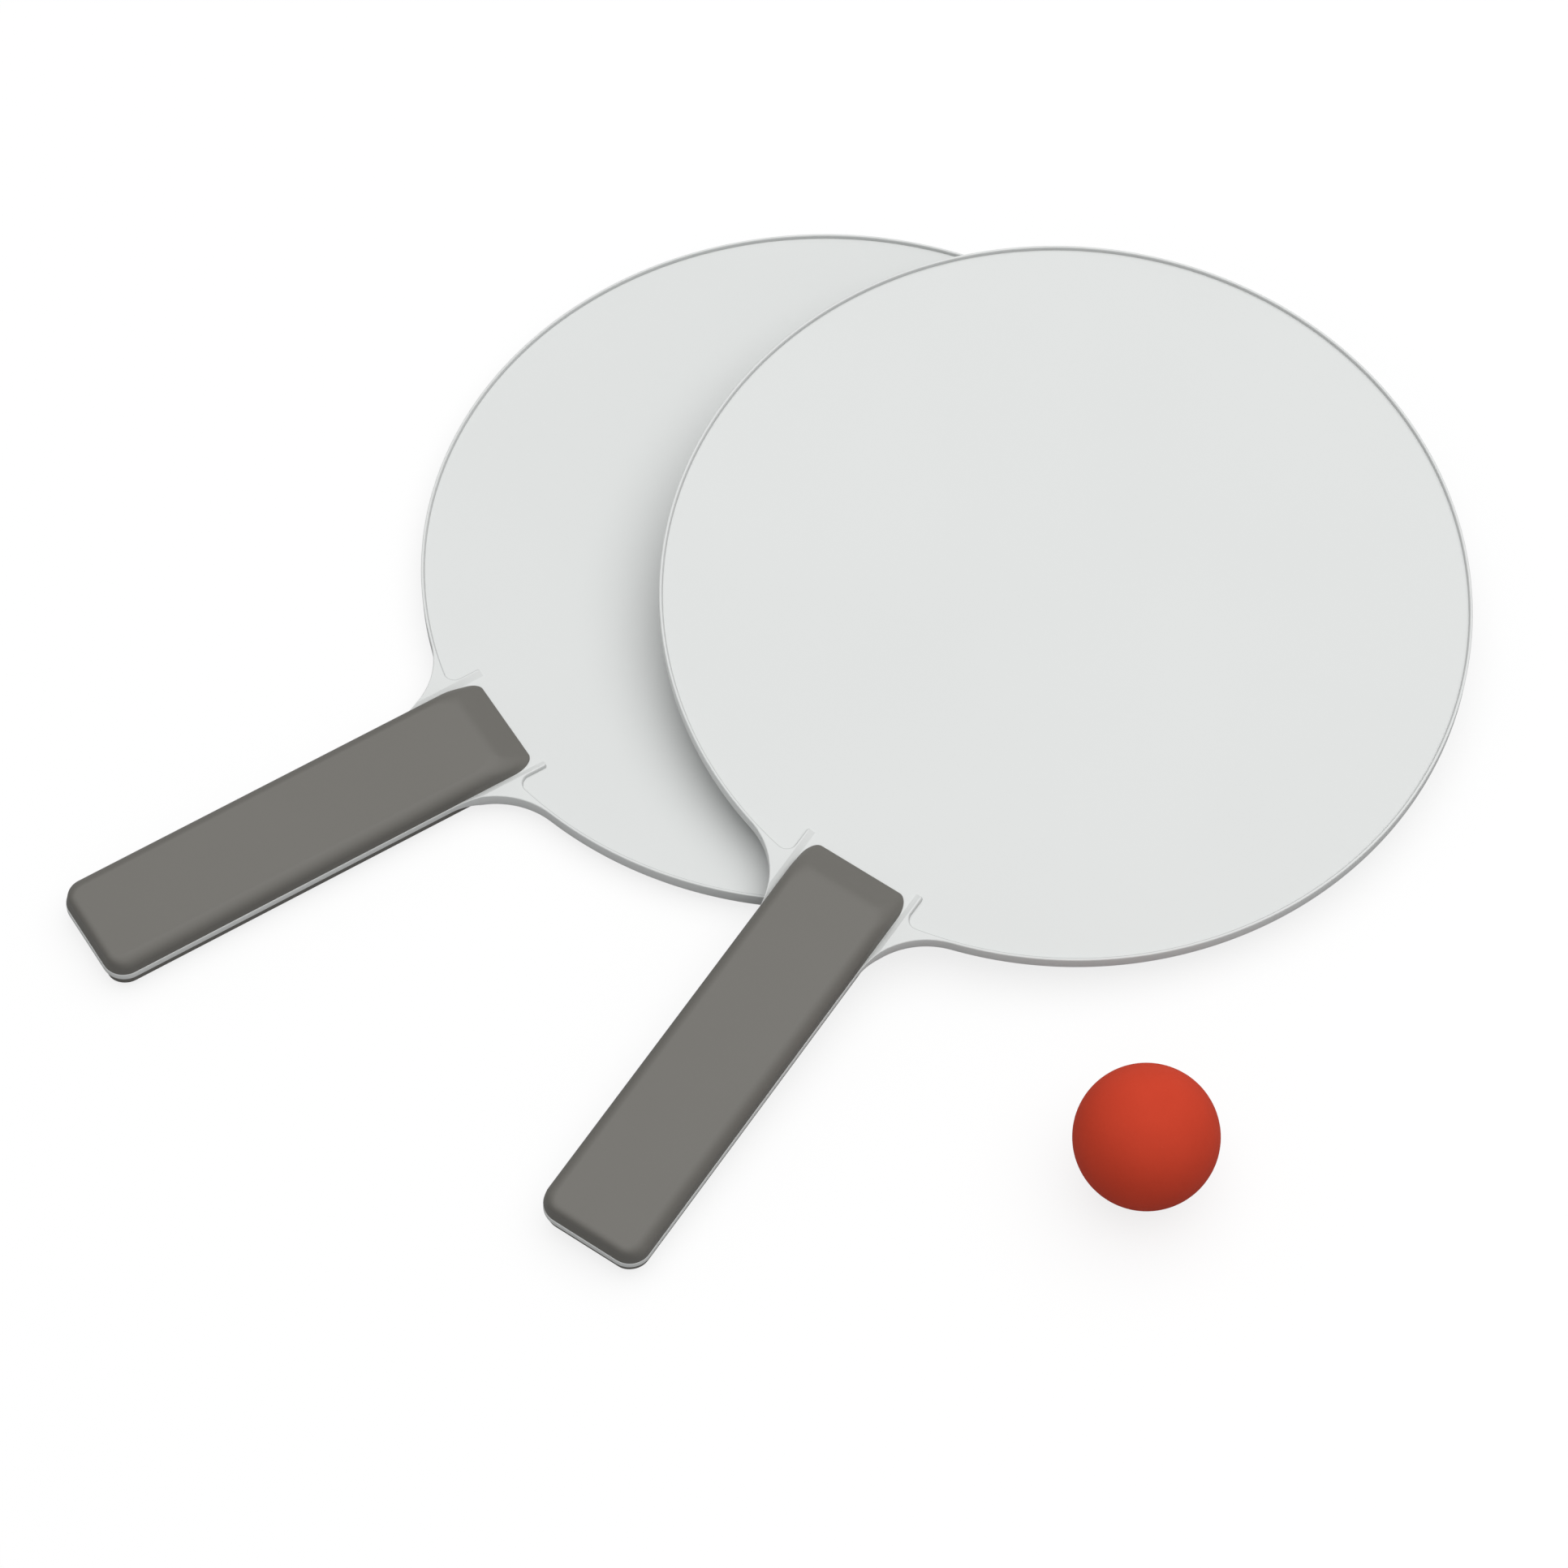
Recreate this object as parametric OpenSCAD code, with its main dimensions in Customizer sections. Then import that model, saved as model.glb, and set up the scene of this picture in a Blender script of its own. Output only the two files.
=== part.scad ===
/* [Head] */
// Diameter of the round head
head_d = 230; // [180:1:280]
// Thickness of the raised rim, front to back
rim_t = 4.4; // [4:0.1:8]
// Width of the raised rim, seen from above
rim_w = 0.85; // [0.6:0.05:3]
// Thickness of the flat web that the ball strikes, and of the tang in the handle
web_t = 2.4; // [1.5:0.1:3.4]

/* [Handle] */
// Length from the tip of the head to the end of the handle
overall_l = 354.5; // [300:0.1:420]
// Width of the flat tang between the two grips
tang_w = 33.5; // [28:0.1:44]
// Radius of the hollow flare between the head and the handle
flare_r = 23.6; // [12:0.1:40]
// Corner radius at the end of the tang
tang_corner_r = 6.6; // [4:0.1:12]

/* [Ribs] */
// How far the two ribs reach past the toes of the grips
rib_lead = 2.2; // [0.5:0.1:12]
// Width of the flat top of each rib
rib_w = 0.62; // [0.4:0.02:1]
// Width of the slope that leads down from each rib to the grip
rib_slope_w = 1.6; // [0.4:0.1:2.4]
// Clearance between a grip's side and the foot of that slope
grip_clearance = 0.35; // [0.1:0.05:1]
// Radius where the rim's inner edge turns up along a rib
recess_corner_r = 3.1; // [1:0.1:6]

/* [Grips] */
// Distance from the rim to the toe of each grip
toe_inset = 10; // [3:0.1:15]
// Margin between a grip's side and the tang's side
grip_side_margin = 0.3; // [0.1:0.05:1.5]
// Margin between a grip's end and the tang's end
grip_end_margin = 0.1; // [0.1:0.05:1.5]
// Height of each grip above the tang
grip_h = 5; // [4.5:0.1:8]
// Height of the grip's side wall below its rounded edge
grip_wall_h = 2; // [1:0.1:3]
// How far the side wall leans in over its height
grip_lean = 0.3; // [0:0.05:1]
// Width of the rounded edge, seen from above
grip_edge_w = 3.4; // [1:0.1:4]
// Corner radius at the end of the grip
grip_corner_r = 6.3; // [5:0.1:12]
// Length of the ramp at the toe
toe_l = 11.6; // [11:0.1:16]
// Steepness of the ramp at the toe, in degrees
toe_angle = 26; // [25:0.5:36]
// Thickness of the grip at its toe
toe_lip = 0.3; // [0.2:0.05:0.6]
// Width of each rounded corner at the toe
toe_corner_w = 3.7; // [2:0.1:8]
// Length of each rounded corner at the toe
toe_corner_l = 6.9; // [2:0.1:9]

/* [Ball] */
// Diameter of the ball
ball_d = 40; // [36:0.5:60]

/* [Layout] */
// Turn of the rear paddle, clockwise from straight away
rear_turn = 59.8; // [50:0.1:70]
// Turn of the front paddle, clockwise from straight away
front_turn = 35.2; // [30:0.1:42]
// Sideways tilt of the front paddle, with its right edge low
front_roll = 4.2; // [0:0.1:6]
// Bearing of the place on the rear rim that carries the front grip's toe
seat_bearing = -91.7; // [-100:0.1:-85]
// Place of that seat across the front grip, measured from its middle
seat_offset = -5.9; // [-11:0.1:6]
// How far that seat lies ahead of the flat, where the toe's arc has hardly left it
seat_lead = 0.6; // [0:0.1:1.5]
// Clearance between the front grip and the rim below it
seat_gap = 0.2; // [0.1:0.05:1]
// Clearance between the front handle and the table
table_gap = 0.6; // [0.1:0.05:1]
// Bearing of the ball from the front head's centre
ball_bearing = -85.4; // [-100:0.1:-70]
// Distance in plan between the front head and the ball
ball_gap = 40; // [20:0.5:80]

/* [Hidden] */

// Sides of a full circle on true rounds, and steps of a quarter ellipse and of the toe's arc
round_sides = 96;
corner_steps = 8;
edge_steps = 8;
arc_steps = 5;
// One overrun for every cut
over = 1;
blade_grey = [0.88, 0.89, 0.89];
grip_grey = [0.47, 0.46, 0.44];
ball_red = [0.81, 0.28, 0.18];

head_r = head_d / 2;
tang_half = tang_w / 2;
tang_end_y = overall_l - head_r;
recess_d = (rim_t - web_t) / 2;

// The flare touches the head's circle and the tang's side
flare_x = tang_half + flare_r;
flare_y = sqrt(pow(head_r + flare_r, 2) - pow(flare_x, 2));
flare_share = head_r / (head_r + flare_r);

// Grip: the rounded edge takes what the wall leaves of the height
grip_half = tang_half - grip_side_margin;
grip_end_y = tang_end_y - grip_end_margin;
grip_toe_y = head_r - toe_inset;
edge_h = grip_h - grip_wall_h;
edge_in = grip_lean + grip_edge_w;
butt_x = grip_half - grip_corner_r;
butt_y = grip_end_y - grip_corner_r;

// Toe: a straight ramp, then an arc that is tangent to the ramp and to the flat top
ramp_arc_r = (toe_l * sin(toe_angle) - (grip_h - toe_lip) * cos(toe_angle)) / (1 - cos(toe_angle));
flat_toe_y = grip_toe_y + toe_l;

// Ribs: foot beside the grip, then the slope, then the flat top
rib_foot = grip_half + grip_clearance;
rib_in = rib_foot + rib_slope_w;
rib_out = rib_in + rib_w;
rib_tip_y = grip_toe_y - rib_lead;

// The recess keeps to the inner circle and to the ribs' outer faces
recess_r = head_r - rim_w;
nook_x = rib_out + recess_corner_r;
nook_y = sqrt(pow(recess_r - recess_corner_r, 2) - pow(nook_x, 2));
nook_share = recess_r / (recess_r - recess_corner_r);

// Height of a paddle's middle plane when it lies on its lower grip
rest_z = web_t / 2 + grip_h;
ball_r = ball_d / 2;

// The front paddle's lower grip bears on the rear rim where its toe meets its flat,
// and with the right corner of that flat on the table: nose-up angle from the two heights
seat_z = rest_z + rim_t / 2 + seat_gap;
seat_y = flat_toe_y - seat_lead;
function nose_up(x, y) =
    let (drop = (seat_offset - x) * sin(front_roll), run = y - seat_y)
        asin((seat_z - table_gap) / sqrt(pow(run, 2) + pow(drop, 2))) + atan2(drop, run);

// The corner's lowest point lies where its round edge faces straight downhill
flat_corner_r = grip_corner_r - edge_in;
downhill = atan2(sin(front_roll), sin(nose_up(butt_x, butt_y + flat_corner_r)));
front_pitch = nose_up(butt_x + flat_corner_r * sin(downhill), butt_y + flat_corner_r * cos(downhill));

// Directions of the front paddle's own axes
across_x = cos(front_turn) * cos(front_roll) + sin(front_turn) * sin(front_pitch) * sin(front_roll);
across_y = -sin(front_turn) * cos(front_roll) + cos(front_turn) * sin(front_pitch) * sin(front_roll);
across_z = -cos(front_pitch) * sin(front_roll);
along_x = sin(front_turn) * cos(front_pitch);
along_y = cos(front_turn) * cos(front_pitch);
along_z = sin(front_pitch);
up_x = cos(front_turn) * sin(front_roll) - sin(front_turn) * sin(front_pitch) * cos(front_roll);
up_y = -sin(front_turn) * sin(front_roll) - cos(front_turn) * sin(front_pitch) * cos(front_roll);
up_z = cos(front_pitch) * cos(front_roll);

// Front head's centre, from the rear head's centre, so that the grip meets the seat
front_x = head_r * cos(seat_bearing) - seat_offset * across_x + seat_y * along_x + rest_z * up_x;
front_y = head_r * sin(seat_bearing) - seat_offset * across_y + seat_y * along_y + rest_z * up_y;
front_z = seat_z - seat_offset * across_z + seat_y * along_z + rest_z * up_z;

// Ball's centre, from the rear head's centre
ball_reach = head_r + ball_gap + ball_r;
ball_x = front_x + ball_reach * cos(ball_bearing);
ball_y = front_y + ball_reach * sin(ball_bearing);

// Outer limits of the set, from the rear head's centre, to put the origin under its middle
corner_x = tang_half - tang_corner_r;
corner_y = tang_end_y - tang_corner_r;
left_limit = -corner_x * cos(rear_turn) - corner_y * sin(rear_turn) - tang_corner_r;
front_right = front_x + head_r * sqrt(1 - pow(up_x, 2)) + rim_t / 2 * abs(up_x);
right_limit = max(head_r, front_right);
far_limit = head_r;
front_near = front_y + corner_x * across_y - corner_y * along_y + web_t / 2 * up_y
             - tang_corner_r * sqrt(1 - pow(up_y, 2));
near_limit = min(front_near, ball_y - ball_r);
centre_x = (left_limit + right_limit) / 2;
centre_y = (far_limit + near_limit) / 2;

// Shapes of one paddle, with its head's centre at the origin and its handle along -Y

// Flat outline of the flared neck
module neck_outline() {
    difference() {
        polygon([
            [-flare_x, -flare_y],
            [flare_x, -flare_y],
            [flare_x * flare_share, -flare_y * flare_share],
            [-flare_x * flare_share, -flare_y * flare_share]
        ]);
        for (side = [-1, 1])
            translate([side * flare_x, -flare_y])
                circle(r = flare_r, $fn = round_sides);
    }
}

// Flat outline of the tang, with round corners at its end
module tang_outline() {
    translate([-tang_half, -corner_y])
        square([tang_w, corner_y]);
    translate([-corner_x, -tang_end_y])
        square([2 * corner_x, tang_corner_r]);
    for (side = [-1, 1])
        translate([side * corner_x, -corner_y])
            circle(r = tang_corner_r, $fn = round_sides);
}

// Flat outline of the whole blade
module blade_outline() {
    circle(r = head_r, $fn = 2 * round_sides);
    neck_outline();
    tang_outline();
}

// Flat outline of the recessed face, round the ribs
module recess_outline() {
    difference() {
        circle(r = recess_r, $fn = 2 * round_sides);
        translate([-rib_out, -recess_r - over])
            square([2 * rib_out, recess_r + over - rib_tip_y]);
        for (side = [-1, 1])
            nook_fill(side);
    }
}

// Solid left in the corner between the rim's inner edge and a rib
module nook_fill(side) {
    difference() {
        polygon([
            [side * rib_in, -nook_y],
            [side * nook_x, -nook_y],
            [side * nook_x * nook_share, -nook_y * nook_share],
            [side * nook_x * nook_share, -recess_r - over],
            [side * rib_in, -recess_r - over]
        ]);
        translate([side * nook_x, -nook_y])
            circle(r = recess_corner_r, $fn = round_sides);
    }
}

// Rim, shoulders and rib tops on one side of the web
module raised_border() {
    linear_extrude(height = recess_d)
        difference() {
            blade_outline();
            recess_outline();
            translate([-rib_in, -tang_end_y - over])
                square([2 * rib_in, tang_end_y + over - rib_tip_y]);
        }
}

// Slope from a rib's top down to the foot beside the grip
module rib_slope(side) {
    intersection() {
        translate([0, -rib_tip_y, 0])
            rotate([90, 0, 0])
                linear_extrude(height = tang_end_y - rib_tip_y)
                    polygon([
                        [side * rib_foot, 0],
                        [side * rib_in, 0],
                        [side * rib_in, recess_d]
                    ]);
        linear_extrude(height = recess_d)
            blade_outline();
    }
}

// Blade: web, tang, rim, shoulders and ribs in one moulding
module blade() {
    translate([0, 0, -web_t / 2])
        linear_extrude(height = web_t)
            blade_outline();
    for (face = [0, 1])
        mirror([0, 0, face])
            translate([0, 0, web_t / 2]) {
                raised_border();
                for (side = [-1, 1])
                    rib_slope(side);
            }
}

// Half of the grip's edge in section, from the wall's foot up to the flat top
function grip_edge(reach) = concat(
    [[reach, 0]],
    [for (i = [0:edge_steps])
        [reach - edge_in + grip_edge_w * cos(90 * i / edge_steps),
         grip_wall_h + edge_h * sin(90 * i / edge_steps)]]
);

// Grip with square ends: cross-section of both sides, run along the handle
module grip_sides() {
    right = grip_edge(grip_half);
    left = [for (i = [len(right) - 1:-1:0]) [-right[i][0], right[i][1]]];
    translate([0, -grip_toe_y, 0])
        rotate([90, 0, 0])
            linear_extrude(height = butt_y - grip_toe_y)
                polygon(concat(right, left));
}

// End of the grip: the same edge run across it and turned round its two corners
module grip_end() {
    translate([-butt_x, -butt_y, 0])
        rotate([90, 0, 90])
            linear_extrude(height = 2 * butt_x)
                polygon(concat([[0, 0], [0, grip_h]], mirrored(grip_edge(grip_corner_r))));
    for (side = [-1, 1])
        translate([side * butt_x, -butt_y, 0])
            rotate_extrude($fn = round_sides)
                polygon(concat([[0, 0]], grip_edge(grip_corner_r), [[0, grip_h]]));
}

// Section turned end for end, to face the handle's end
function mirrored(points) = [for (i = [len(points) - 1:-1:0]) [-points[i][0], points[i][1]]];

// Side view of the grip, with the ramp and the arc at its toe
module toe_profile() {
    arc = [for (i = [0:arc_steps])
        let (a = toe_angle * (1 - i / arc_steps))
            [-flat_toe_y + ramp_arc_r * sin(a), grip_h - ramp_arc_r * (1 - cos(a))]];
    polygon(concat(
        [[-tang_end_y - over, 0], [-grip_toe_y, 0], [-grip_toe_y, toe_lip]],
        arc,
        [[-tang_end_y - over, grip_h]]
    ));
}

// Plan of the grip, with the two rounded corners at its toe
module toe_plan() {
    corner = [for (i = [0:corner_steps])
        let (a = 90 * i / corner_steps)
            [grip_half - toe_corner_w * (1 - cos(a)), -grip_toe_y - toe_corner_l * (1 - sin(a))]];
    polygon(concat(
        [[-grip_half - over, -tang_end_y - over], [grip_half + over, -tang_end_y - over]],
        [[grip_half + over, -grip_toe_y - toe_corner_l]],
        corner,
        mirrored(corner),
        [[-grip_half - over, -grip_toe_y - toe_corner_l]]
    ));
}

// Grip pad, glued to the tang by its flat underside
module grip() {
    intersection() {
        union() {
            grip_sides();
            grip_end();
        }
        translate([-grip_half - over, 0, 0])
            rotate([90, 0, 90])
                linear_extrude(height = 2 * (grip_half + over))
                    toe_profile();
        linear_extrude(height = grip_h)
            toe_plan();
    }
}

module upper_grip() {
    translate([0, 0, web_t / 2])
        grip();
}

module lower_grip() {
    mirror([0, 0, 1])
        upper_grip();
}

// Places of the two paddles
module rear_place() {
    translate([-centre_x, -centre_y, rest_z])
        rotate([0, 0, -rear_turn])
            children();
}

module front_place() {
    translate([front_x - centre_x, front_y - centre_y, front_z])
        rotate([0, 0, -front_turn])
            rotate([front_pitch, 0, 0])
                rotate([0, front_roll, 0])
                    children();
}

// The named pieces
module rear_blade() {
    color(blade_grey)
        rear_place()
            blade();
}

module rear_upper_grip() {
    color(grip_grey)
        rear_place()
            upper_grip();
}

module rear_lower_grip() {
    color(grip_grey)
        rear_place()
            lower_grip();
}

module front_blade() {
    color(blade_grey)
        front_place()
            blade();
}

module front_upper_grip() {
    color(grip_grey)
        front_place()
            upper_grip();
}

module front_lower_grip() {
    color(grip_grey)
        front_place()
            lower_grip();
}

// Ball, on the table beside the paddles
module ball() {
    color(ball_red)
        translate([ball_x - centre_x, ball_y - centre_y, ball_r])
            sphere(r = ball_r, $fn = round_sides);
}

rear_blade();
rear_upper_grip();
rear_lower_grip();
front_blade();
front_upper_grip();
front_lower_grip();
ball();
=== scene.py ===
# Paddle ball set: two moulded bats with soft grip pads, and a rubber ball
from math import acos, atan2, cos, pi, radians, sin, sqrt, tan
import bmesh
import bpy
from mathutils import Matrix, Vector, noise


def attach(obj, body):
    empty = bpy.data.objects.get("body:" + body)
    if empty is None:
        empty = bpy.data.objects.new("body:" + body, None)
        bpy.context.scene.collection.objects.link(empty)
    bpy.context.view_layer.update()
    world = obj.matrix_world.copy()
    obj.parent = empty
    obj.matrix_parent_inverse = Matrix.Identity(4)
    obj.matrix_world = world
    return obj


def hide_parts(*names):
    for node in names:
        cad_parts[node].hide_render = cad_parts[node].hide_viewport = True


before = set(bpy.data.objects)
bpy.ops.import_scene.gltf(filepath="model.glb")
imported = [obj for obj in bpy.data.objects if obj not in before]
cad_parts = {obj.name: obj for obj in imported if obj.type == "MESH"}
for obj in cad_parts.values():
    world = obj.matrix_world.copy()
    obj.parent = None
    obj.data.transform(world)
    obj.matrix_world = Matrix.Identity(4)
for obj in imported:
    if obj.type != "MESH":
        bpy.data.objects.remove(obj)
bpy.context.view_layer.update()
print("frame loaded")

mm = 0.001
samePoint = 1e-4         # points nearer than this are one point, in mm
onCurve = 1e-3           # how far a drawn point may lie off its own curve, in mm
flatCorners = 12         # a face with this many corners or more is shaded flat

# The photograph's camera, measured from the middle of the set, in mm
camera = {
    "place": (2.24, -1011.48, 1592.3),
    "right": (0.9997, -0.0218, -0.0137),
    "up": (0.0258, 0.8475, 0.5302),
    "lens": 153.04,
    "sensor": 36.0,
    "nearest": 50.0,         # what the camera sees starts here
    "farthest": 20000.0,     # and ends here
}


def addCamera():
    right = Vector(camera["right"]).normalized()
    up = Vector(camera["up"])
    up = (up - right * up.dot(right)).normalized()
    turn = Matrix((right, up, right.cross(up))).transposed().to_4x4()
    data = bpy.data.cameras.new("photoCamera")
    data.lens = camera["lens"]
    data.sensor_width = camera["sensor"]
    data.sensor_fit = "HORIZONTAL"
    data.clip_start = camera["nearest"] * mm
    data.clip_end = camera["farthest"] * mm
    obj = bpy.data.objects.new("photoCamera", data)
    bpy.context.scene.collection.objects.link(obj)
    obj.matrix_world = Matrix.Translation(Vector(camera["place"]) * mm) @ turn
    bpy.context.scene.camera = obj


addCamera()

# Where the three items lie: the middle of each head and of the ball in mm, and turns in degrees
layout = {
    "rearHead": (14.818, 55.861, 6.2),
    "rearTurn": 59.8,             # clockwise from straight away
    "frontHead": (83.160, 31.632, 20.867),
    "frontTurn": 35.2,
    "frontPitch": 3.2244,         # head up
    "frontRoll": 4.2,             # right side down
    "ball": (97.195, -142.804, 20.0),
}

rearPlace = (
    Matrix.Scale(mm, 4)
    @ Matrix.Translation(layout["rearHead"])
    @ Matrix.Rotation(radians(-layout["rearTurn"]), 4, "Z")
)
frontPlace = (
    Matrix.Scale(mm, 4)
    @ Matrix.Translation(layout["frontHead"])
    @ Matrix.Rotation(radians(-layout["frontTurn"]), 4, "Z")
    @ Matrix.Rotation(radians(layout["frontPitch"]), 4, "X")
    @ Matrix.Rotation(radians(layout["frontRoll"]), 4, "Y")
)
ballPlace = Matrix.Scale(mm, 4) @ Matrix.Translation(layout["ball"])


def vertsOf(items):
    return [item for item in items if isinstance(item, bmesh.types.BMVert)]


def facesOf(items):
    return [item for item in items if isinstance(item, bmesh.types.BMFace)]


def edgesAmong(items, verts):
    edges = [item for item in items if isinstance(item, bmesh.types.BMEdge)]
    return [e for e in edges if all(v in verts for v in e.verts)]


# A vertex is drawn along like a pen: each step leaves an edge and returns the new end
def lineTo(bm, vert, x, y, z=None):
    tip = bmesh.ops.extrude_vert_indiv(bm, verts=[vert])["verts"][0]
    tip.co = (x, y, vert.co.z if z is None else z)
    return tip


def arcTo(bm, vert, centre, angle, steps):
    made = bmesh.ops.spin(
        bm, geom=[vert], cent=(*centre, vert.co.z), axis=(0, 0, 1),
        angle=angle, steps=steps, use_duplicate=False,
    )
    return vertsOf(made["geom_last"])[0]


def mirrorMesh(bm, axis):
    whole = bm.verts[:] + bm.edges[:] + bm.faces[:]
    bmesh.ops.mirror(bm, geom=whole, axis=axis, merge_dist=samePoint)


def shadeMesh(bm, sharpAngle):
    for face in bm.faces:
        face.smooth = len(face.verts) < flatCorners
    for e in bm.edges:
        e.smooth = not (len(e.link_faces) == 2 and e.calc_face_angle(0) > radians(sharpAngle))


def finishPiece(bm, name, place, body, node, slotName):
    bmesh.ops.transform(bm, matrix=place, verts=bm.verts)
    bmesh.ops.recalc_face_normals(bm, faces=bm.faces)
    mesh = bpy.data.meshes.new(name)
    bm.to_mesh(mesh)
    bm.free()
    obj = bpy.data.objects.new(name, mesh)
    bpy.context.scene.collection.objects.link(obj)
    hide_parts(node)
    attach(obj, body)
    mesh.materials.append(finishes[slotName])


# Blade: head, neck and flat tang in one moulding, in mm, with the handle along -Y
blade = {
    "headRadius": 115.0,
    "rimWide": 0.85,
    "rimThick": 4.4,
    "webThick": 2.4,         # the recessed face and the tang
    "tangHalf": 16.75,       # half the tang's width
    "tangEnd": 239.5,        # from the head's centre
    "buttRadius": 6.6,       # corners at the handle's end
    "flareRadius": 23.6,     # the shoulders between head and tang
    "ribTip": 102.8,         # from the head's centre
    "ribFoot": 16.8,         # where a rib's inner slope starts, from the middle
    "ribSlope": 1.6,         # how wide that slope is
    "ribTop": 0.62,          # and the flat top beside it
    "ribCorner": 0.5,        # rounding of a rib's tip, on its outer side
    "nookRadius": 3.1,       # hollow where a rib meets the rim
    "draft": 0.22,           # how far the recess's walls stand out into it at their foot
    "outerRound": 0.3,       # rounding of the outer edge
    "innerRound": 0.25,      # rounding of the rim's inner edge and of the ribs
    "roundSteps": 3,
    "headSteps": 200,        # steps of half a head
    "flareSteps": 24,        # steps of a shoulder, down to the rib
    "slopeSteps": 10,        # and on across the rib's slope
    "footSteps": 4,          # and on to the tang
    "buttSteps": 14,
    "ribCornerSteps": 5,
    "nookSteps": 14,
    "sharpAngle": 40,        # edges that turn more than this stay sharp, in degrees
}
outerKind, innerKind = 1, 2      # the two kinds of edge that get a rounding


def drawHalfBlade(bm, kindTag, paintedShadeTag):
    b = blade
    top, low = b["rimThick"] / 2, b["webThick"] / 2
    headR, flareR = b["headRadius"], b["flareRadius"]
    foot = b["ribFoot"]
    ribIn = foot + b["ribSlope"]
    ribOut = ribIn + b["ribTop"]
    flareX = b["tangHalf"] + flareR
    flareY = -sqrt((headR + flareR) ** 2 - flareX**2)
    flareTurn = atan2(-flareY, flareX)
    ridgeTurn = acos((flareX - ribIn) / flareR)
    footTurn = acos((flareX - foot) / flareR)
    buttX, buttY = b["tangHalf"] - b["buttRadius"], b["buttRadius"] - b["tangEnd"]

    # outer edge, from the head's far end round to the middle of the butt
    far = bmesh.ops.create_vert(bm, co=(0, headR, top))["vert"][0]
    waist = arcTo(bm, far, (0, 0), -(pi / 2 + flareTurn), b["headSteps"])
    ridgeEnd = arcTo(bm, waist, (flareX, flareY), flareTurn - ridgeTurn, b["flareSteps"])
    rimEdges = list(bm.edges)
    footEnd = arcTo(bm, ridgeEnd, (flareX, flareY), ridgeTurn - footTurn, b["slopeSteps"])
    fallEdges = [e for e in bm.edges if e not in rimEdges]
    pen = arcTo(bm, footEnd, (flareX, flareY), footTurn, b["footSteps"])
    pen = lineTo(bm, pen, b["tangHalf"], buttY)
    pen = arcTo(bm, pen, (buttX, buttY), -pi / 2, b["buttSteps"])
    butt = lineTo(bm, pen, 0, -b["tangEnd"])
    outline = list(bm.edges)
    tangEdges = [e for e in outline if e not in rimEdges and e not in fallEdges]
    for v in bm.verts:
        if v.co.y < ridgeEnd.co.y - samePoint:
            share = (v.co.x - foot) / (ribIn - foot)
            v.co.z = low + (top - low) * min(1, max(0, share))

    # inner edge of the rim, from the rib's tip through the nook and round the recess
    recessR = headR - b["rimWide"]
    nookX = ribOut + b["nookRadius"]
    nookY = sqrt((recessR - b["nookRadius"]) ** 2 - nookX**2)
    nookTurn = atan2(nookY, nookX)
    corner = b["ribCorner"]
    cornerX, cornerY = ribOut - corner, -b["ribTip"] - corner
    tipIn = lineTo(bm, ridgeEnd, ribIn, -b["ribTip"], top)
    ridge = tipIn.link_edges[0]
    known = set(bm.edges)
    pen = lineTo(bm, tipIn, cornerX, -b["ribTip"])
    pen = arcTo(bm, pen, (cornerX, cornerY), -pi / 2, b["ribCornerSteps"])
    pen = lineTo(bm, pen, ribOut, -nookY)
    pen = arcTo(bm, pen, (nookX, -nookY), pi - nookTurn, b["nookSteps"])
    rimFar = arcTo(bm, pen, (0, 0), pi / 2 + nookTurn, b["headSteps"])
    innerEdges = [e for e in bm.edges if e not in known]

    # walls down from that edge to the recess, and the slope's foot beside the grip
    made = bmesh.ops.extrude_edge_only(bm, edges=innerEdges)["geom"]
    lowVerts = vertsOf(made)
    lowEdges = edgesAmong(made, lowVerts)
    walls = facesOf(made)
    nook = Vector((nookX, -nookY, low))
    ribEnd = Vector((cornerX, cornerY, low))
    for v in lowVerts:
        v.co.z = low
        if abs(v.co.xy.length - recessR) < onCurve:
            v.co.xy *= 1 - b["draft"] / recessR
        elif abs((v.co - nook).length - b["nookRadius"]) < onCurve:
            v.co = nook + (v.co - nook) * (1 - b["draft"] / b["nookRadius"])
        elif abs((v.co - ribEnd).length - corner) < onCurve:
            v.co = ribEnd + (v.co - ribEnd) * (1 + b["draft"] / corner)
        else:
            v.co = (foot, b["draft"] - b["ribTip"], low)
            tipFoot = v
    recessFar = max(lowVerts, key=lambda v: v.co.y)
    tipFall = bm.edges.get((tipIn, tipFoot))
    footLine = bm.edges.new((tipFoot, footEnd))
    rimSplit = bm.edges.new((far, rimFar))
    webSplit = bm.edges.new((recessFar, butt))

    # the flat top, the rib's slope, and the recess with the tang
    bmesh.ops.contextual_create(bm, geom=rimEdges + [ridge] + innerEdges + [rimSplit])
    bmesh.ops.contextual_create(bm, geom=fallEdges + [footLine, tipFall, ridge])
    bmesh.ops.contextual_create(bm, geom=tangEdges + [footLine] + lowEdges + [webSplit])
    # the recess's walls are marked to get painted shade
    for face in bm.faces:
        face[paintedShadeTag] = float(face in walls)

    # outer wall, down to the middle plane
    made = bmesh.ops.extrude_edge_only(bm, edges=outline)["geom"]
    for v in vertsOf(made):
        v.co.z = 0
    for e in outline:
        e[kindTag] = outerKind
    for e in innerEdges:
        if tipIn not in e.verts:
            e[kindTag] = innerKind


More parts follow.
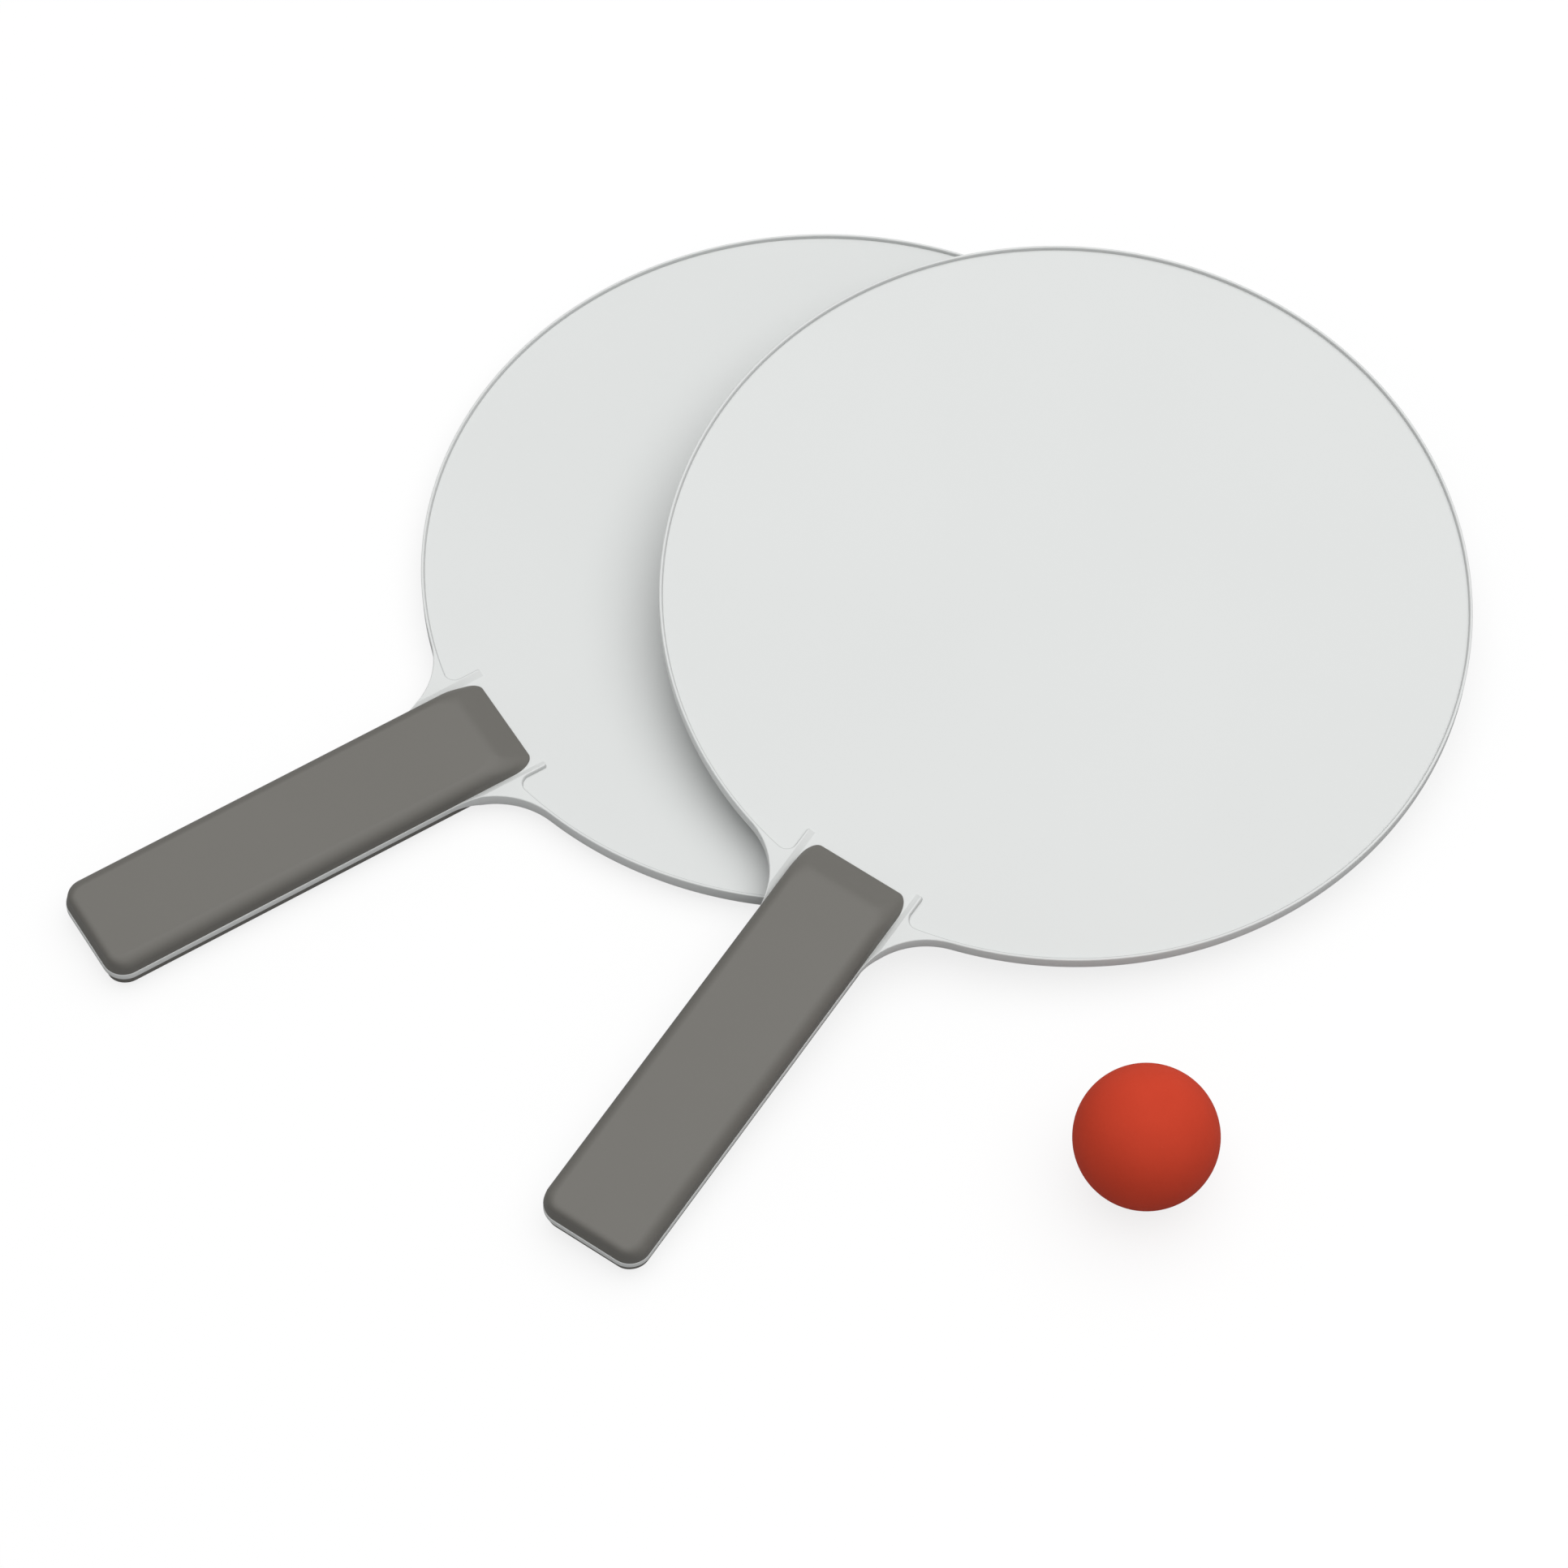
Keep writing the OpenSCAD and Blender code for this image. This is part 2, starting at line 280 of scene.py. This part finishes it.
def makeBlade(name, place, body, node):
    b = blade
    bm = bmesh.new()
    kindTag = bm.edges.layers.int.new("roundKind")
    # face layer that marks the faces given painted shade
    paintedShadeTag = bm.faces.layers.float.new("paintedShade")
    drawHalfBlade(bm, kindTag, paintedShadeTag)
    mirrorMesh(bm, "X")
    bmesh.ops.recalc_face_normals(bm, faces=bm.faces)    # or the bevels twist between the halves
    for kind, size in ((outerKind, b["outerRound"]), (innerKind, b["innerRound"])):
        edges = [e for e in bm.edges if e[kindTag] == kind and len(e.link_faces) == 2]
        made = bmesh.ops.bevel(
            bm, geom=edges, offset=size, offset_type="OFFSET", segments=b["roundSteps"],
            profile=0.5, affect="EDGES", clamp_overlap=False, material=-1,
        )
        # the rounding of the rim's inner edge is marked for painted shade too
        for face in made["faces"]:
            face[paintedShadeTag] = float(kind == innerKind)
    mirrorMesh(bm, "Z")
    bmesh.ops.remove_doubles(bm, verts=bm.verts, dist=samePoint)
    shadeMesh(bm, b["sharpAngle"])
    finishPiece(bm, name, place, body, node, "blade")


# Grip pad, drawn ring by ring from the tang up to its flat top, in mm
grip = {
    "half": 16.6,            # half its width
    "toe": 105.0,            # from the head's centre
    "end": 239.3,
    "height": 5.0,
    "wall": 2.1,             # straight part of the sides
    "lean": 0.3,             # and how far that leans in
    "edgeWide": 3.6,         # rounding along the sides
    "edgeFullness": 1.55,    # 2 is an ellipse, 1 a straight bevel
    "buttWall": 3.0,         # straight part of the end
    "buttLean": 0.7,         # and how far that leans in
    "buttWide": 2.4,         # rounding across the end
    "buttFullness": 1.9,
    "buttRadius": 6.3,       # corners at the end, seen from above
    "lip": 0.3,              # thickness at the toe
    "ramp": 11.6,            # how far the flat top stays back from the toe
    "rampAngle": 26.0,       # steepness of the ramp's straight part, in degrees
    "cornerWide": 3.7,       # rounding of the toe's two corners
    "cornerLong": 6.9,
    "cornerSteps": 16,       # steps of each of the four corners
    "wallSteps": 6,          # rings above the lip, up the straight part
    "edgeSteps": 16,         # and up the rounding
    "sharpAngle": 50,
}


def rampRun(h):      # how far the toe has drawn back at this height
    g = grip
    angle = radians(g["rampAngle"])
    drop = g["height"] - g["lip"]
    arc = (g["ramp"] * sin(angle) - drop * cos(angle)) / (1 - cos(angle))
    if h <= g["lip"]:
        return 0
    if h <= g["height"] - arc * (1 - cos(angle)):
        return (h - g["lip"]) / tan(angle)
    below = arc - (g["height"] - h)
    return g["ramp"] - sqrt(max(0, arc**2 - below**2))


def edgeInset(h, wall, lean, wide, power):
    if h <= wall:
        return lean * h / wall
    rise = (h - wall) / (grip["height"] - wall)
    return lean + wide * (1 - max(0, 1 - rise**power) ** (1 / power))


def gripRing(h):
    g = grip
    sideIn = edgeInset(h, g["wall"], g["lean"], g["edgeWide"], g["edgeFullness"])
    endIn = edgeInset(h, g["buttWall"], g["buttLean"], g["buttWide"], g["buttFullness"])
    half = g["half"] - sideIn
    end = g["end"] - endIn
    toe = g["toe"] + rampRun(h)
    wide, long = g["buttRadius"] - sideIn, g["buttRadius"] - endIn
    steps = g["cornerSteps"]
    ring = []
    # each corner: its centre, its two radii and the quarter turn where it starts
    corners = (
        (half - g["cornerWide"], -toe - g["cornerLong"], g["cornerWide"], g["cornerLong"], 0),
        (g["cornerWide"] - half, -toe - g["cornerLong"], g["cornerWide"], g["cornerLong"], 1),
        (wide - half, long - end, wide, long, 2),
        (half - wide, long - end, wide, long, 3),
    )
    for x, y, rx, ry, quarter in corners:
        for step in range(steps + 1):
            a = (quarter + step / steps) * pi / 2
            ring.append(Vector((x + rx * cos(a), y + ry * sin(a), h)))
    return ring


def gripLevels():    # heights of the rings above the lowest one
    g = grip
    wallRise, edgeRise = g["wall"] - g["lip"], g["height"] - g["wall"]
    levels = [g["lip"] / 2, g["lip"]]
    for k in range(1, g["wallSteps"] + 1):
        levels.append(g["lip"] + wallRise * k / g["wallSteps"])
    for k in range(1, g["edgeSteps"] + 1):
        levels.append(g["wall"] + edgeRise * sin(k / g["edgeSteps"] * pi / 2))
    return levels


def makeGrip(name, place, body, node, under):
    bm = bmesh.new()
    ring = gripRing(0)
    bmesh.ops.create_circle(bm, cap_ends=True, radius=1, segments=len(ring))
    for v, co in zip(bm.verts, ring):
        v.co = co
    verts = list(bm.verts)
    edges = list(bm.edges)
    for h in gripLevels():
        made = bmesh.ops.extrude_edge_only(bm, edges=edges)["geom"]
        fresh = vertsOf(made)
        raised = []
        for old, target in zip([v.co.copy() for v in verts], gripRing(h)):
            v = min(fresh, key=lambda item: (item.co - old).length_squared)
            fresh.remove(v)
            raised.append((v, target))
        for v, target in raised:
            v.co = target
        verts = [v for v, target in raised]
        edges = edgesAmong(made, verts)
    bmesh.ops.contextual_create(bm, geom=edges)
    bmesh.ops.translate(bm, verts=bm.verts, vec=(0, 0, blade["webThick"] / 2))
    if under:
        bmesh.ops.scale(bm, verts=bm.verts, vec=(1, 1, -1))
    shadeMesh(bm, grip["sharpAngle"])
    finishPiece(bm, name, place, body, node, "grip")


# Solid rubber ball with a faint pebbled skin, in mm
ball = {
    "radius": 20.0,
    "pebbleWide": 1.3,
    "pebbleDeep": 0.03,      # the deepest that a hollow can be
    "subdivisions": 7,
}


def makeBall(name, place, body, node):
    b = ball
    bm = bmesh.new()
    bmesh.ops.create_icosphere(bm, subdivisions=b["subdivisions"], radius=b["radius"])
    for v in bm.verts:
        pebble = noise.noise(v.co / b["pebbleWide"])
        v.co *= 1 + b["pebbleDeep"] * (pebble - 1) / 2 / b["radius"]
    for face in bm.faces:
        face.smooth = True
    finishPiece(bm, name, place, body, node, "ball")


def grey(level):
    return (level, level, level, 1)


def newMaterial(name):
    mat = bpy.data.materials.new(name)
    mat.use_nodes = True
    nodes, links = mat.node_tree.nodes, mat.node_tree.links
    return mat, nodes, links, nodes["Principled BSDF"]


def addNoise(nodes, links, scale, detail, roughness):
    coords = nodes.new("ShaderNodeTexCoord")
    clouds = nodes.new("ShaderNodeTexNoise")
    clouds.inputs["Scale"].default_value = scale
    clouds.inputs["Detail"].default_value = detail
    clouds.inputs["Roughness"].default_value = roughness
    links.new(coords.outputs["Object"], clouds.inputs["Vector"])
    return clouds


def addRange(nodes, source, target, curve):
    node = nodes.new("ShaderNodeMapRange")
    node.interpolation_type = curve
    for socket, value in zip(("From Min", "From Max", "To Min", "To Max"), (*source, *target)):
        node.inputs[socket].default_value = value
    return node


def mixShaders(nodes, links, factor, first, second):
    node = nodes.new("ShaderNodeMixShader")
    links.new(factor, node.inputs["Fac"])
    links.new(first, node.inputs[1])
    links.new(second, node.inputs[2])
    return node.outputs["Shader"]


# What the three finishes share
pattern = {
    "mottleDetail": 3,
    "mottleRoughness": 0.5,
    "mottleSpan": (0.3, 0.7),    # noise that gives the dark and the light tone
    "grainDetail": 4,
    "grainRoughness": 0.6,
}
# each look's last entry darkens the marked rim wall and rounding with painted shade; 1 paints
# none
plasticLook = {
    "dark": (0.717, 0.732, 0.725), "light": (0.727, 0.742, 0.735), "mottleScale": 14,
    "grainScale": 900, "grainDepth": 0.03, "bump": 0.25,
    "rough": 0.5, "roughSpread": 0.05, "specular": 0.3, "paintedShadeLevel": 0.77,
}
rubberLook = {
    "dark": (0.137, 0.132, 0.119), "light": (0.141, 0.136, 0.123), "mottleScale": 30,
    "grainScale": 1600, "grainDepth": 0.05, "bump": 0.3,
    "rough": 0.5, "roughSpread": 0.05, "specular": 0.5, "paintedShadeLevel": 1.0,
}
ballLook = {
    "dark": (0.56, 0.051, 0.0225), "light": (0.595, 0.055, 0.0245), "mottleScale": 60,
    "grainScale": 1500, "grainDepth": 0.08, "bump": 0.4,
    "rough": 0.75, "roughSpread": 0.08, "specular": 0.12, "paintedShadeLevel": 1.0,
}


def mouldedFinish(name, f):
    p = pattern
    mat, nodes, links, shader = newMaterial(name)
    mottle = addNoise(nodes, links, f["mottleScale"], p["mottleDetail"], p["mottleRoughness"])
    tones = nodes.new("ShaderNodeValToRGB")
    for stop, place, tone in zip(tones.color_ramp.elements, p["mottleSpan"], ("dark", "light")):
        stop.position = place
        stop.color = (*f[tone], 1)
    links.new(mottle.outputs["Fac"], tones.inputs["Fac"])

    # painted shade: the rim's inner wall and its rounding are coloured darker, standing in for
    # the shade in that recess
    paintedShade = nodes.new("ShaderNodeAttribute")
    paintedShade.attribute_name = "paintedShade"
    shade = nodes.new("ShaderNodeMix")
    shade.data_type = "RGBA"
    shade.blend_type = "MULTIPLY"
    shade.inputs["B"].default_value = grey(f["paintedShadeLevel"])
    links.new(paintedShade.outputs["Fac"], shade.inputs["Factor"])
    links.new(tones.outputs["Color"], shade.inputs["A"])
    links.new(shade.outputs["Result"], shader.inputs["Base Color"])

    # fine grain, in the roughness and in the relief
    grain = addNoise(nodes, links, f["grainScale"], p["grainDetail"], p["grainRoughness"])
    spread = (f["rough"] - f["roughSpread"], f["rough"] + f["roughSpread"])
    rough = addRange(nodes, (0, 1), spread, "LINEAR")
    links.new(grain.outputs["Fac"], rough.inputs["Value"])
    links.new(rough.outputs["Result"], shader.inputs["Roughness"])
    bump = nodes.new("ShaderNodeBump")
    bump.inputs["Strength"].default_value = f["bump"]
    bump.inputs["Distance"].default_value = f["grainDepth"] * mm
    links.new(grain.outputs["Fac"], bump.inputs["Height"])
    links.new(bump.outputs["Normal"], shader.inputs["Normal"])
    shader.inputs["Specular IOR Level"].default_value = f["specular"]
    return mat


finishes = {
    "blade": mouldedFinish("palePlastic", plasticLook),
    "grip": mouldedFinish("gripRubber", rubberLook),
    "ball": mouldedFinish("ballRubber", ballLook),
}
print("finishes made")

makeBlade("rearBlade", rearPlace, "rear_paddle", "rear_blade")
makeBlade("frontBlade", frontPlace, "front_paddle", "front_blade")
print("blades made")

makeGrip("rearUpperGrip", rearPlace, "rear_paddle", "rear_upper_grip", False)
makeGrip("rearLowerGrip", rearPlace, "rear_paddle", "rear_lower_grip", True)
makeGrip("frontUpperGrip", frontPlace, "front_paddle", "front_upper_grip", False)
makeGrip("frontLowerGrip", frontPlace, "front_paddle", "front_lower_grip", True)
print("grips made")

makeBall("playBall", ballPlace, "ball", "ball")
print("ball made")

# White floor and soft light, in metres
studio = {
    "floorSize": 12.0,
    "floorDrop": 0.0001,         # keeps the floor off the faces that stand on it
    "floorShadow": 0.2,          # how much of the shadow the camera sees on the white floor
    "shadowReach": (0.3, 0.7),   # and between which distances from the set it fades out
    "floorBounce": 0.41,         # what the floor throws back on the set
    "domeStrength": 0.44,
    "skyHigh": 1.45,             # what glossy rays meet overhead
    "skyLow": 0.0,               # and near the horizon
    "skyRise": (0.3, 0.85),      # and between which heights the one turns into the other
    "lampPower": 126.0,
    "lampSize": 5.8,
    "lampPlace": (0.72, 0.38, 3.5),
}


def addFloor():
    t = studio
    bpy.ops.mesh.primitive_plane_add(size=t["floorSize"])
    floor = bpy.context.object
    floor.name = "studioFloor"
    floor.location.z = -t["floorDrop"]
    mat, nodes, links, shader = newMaterial("studioFloor")
    shader.inputs["Base Color"].default_value = grey(t["floorBounce"])
    shader.inputs["Roughness"].default_value = 1
    shader.inputs["Specular IOR Level"].default_value = 0
    white = nodes.new("ShaderNodeEmission").outputs["Emission"]
    lit = nodes.new("ShaderNodeBsdfDiffuse")
    lit.inputs["Color"].default_value = grey(1)
    spot = nodes.new("ShaderNodeTexCoord")
    distance = nodes.new("ShaderNodeVectorMath")
    distance.operation = "LENGTH"
    fade = addRange(nodes, t["shadowReach"], (t["floorShadow"], 0), "SMOOTHSTEP")
    links.new(spot.outputs["Object"], distance.inputs[0])
    links.new(distance.outputs["Value"], fade.inputs["Value"])
    paper = mixShaders(nodes, links, fade.outputs["Result"], white, lit.outputs["BSDF"])
    path = nodes.new("ShaderNodeLightPath")
    seen = mixShaders(nodes, links, path.outputs["Is Camera Ray"], shader.outputs["BSDF"], paper)
    links.new(seen, nodes["Material Output"].inputs["Surface"])
    floor.data.materials.append(mat)


def addWorld():
    t = studio
    world = bpy.data.worlds.new("studioWorld")
    bpy.context.scene.world = world
    world.use_nodes = True
    nodes, links = world.node_tree.nodes, world.node_tree.links
    dome = nodes["Background"]
    seen = nodes.new("ShaderNodeBackground")
    mirrored = nodes.new("ShaderNodeBackground")
    for sky in (dome, seen, mirrored):
        sky.inputs["Color"].default_value = grey(1)
    dome.inputs["Strength"].default_value = t["domeStrength"]
    seen.inputs["Strength"].default_value = 1
    way = nodes.new("ShaderNodeTexCoord")
    split = nodes.new("ShaderNodeSeparateXYZ")
    height = addRange(nodes, t["skyRise"], (t["skyLow"], t["skyHigh"]), "SMOOTHSTEP")
    links.new(way.outputs["Object"], split.inputs["Vector"])
    links.new(split.outputs["Z"], height.inputs["Value"])
    links.new(height.outputs["Result"], mirrored.inputs["Strength"])
    path = nodes.new("ShaderNodeLightPath")
    light = mixShaders(
        nodes, links, path.outputs["Is Glossy Ray"],
        dome.outputs["Background"], mirrored.outputs["Background"],
    )
    whole = mixShaders(
        nodes, links, path.outputs["Is Camera Ray"], light, seen.outputs["Background"]
    )
    links.new(whole, nodes["World Output"].inputs["Surface"])


def addLamp():
    t = studio
    lamp = bpy.data.lights.new("softBox", "AREA")
    lamp.shape = "DISK"
    lamp.size = t["lampSize"]
    lamp.energy = t["lampPower"]
    obj = bpy.data.objects.new("softBox", lamp)
    bpy.context.scene.collection.objects.link(obj)
    obj.visible_glossy = False
    obj.location = t["lampPlace"]
    obj.rotation_euler = (-Vector(t["lampPlace"])).to_track_quat("-Z", "Y").to_euler()


addFloor()
addWorld()
addLamp()
print("studio made")

bpy.context.scene.view_settings.view_transform = "Standard"
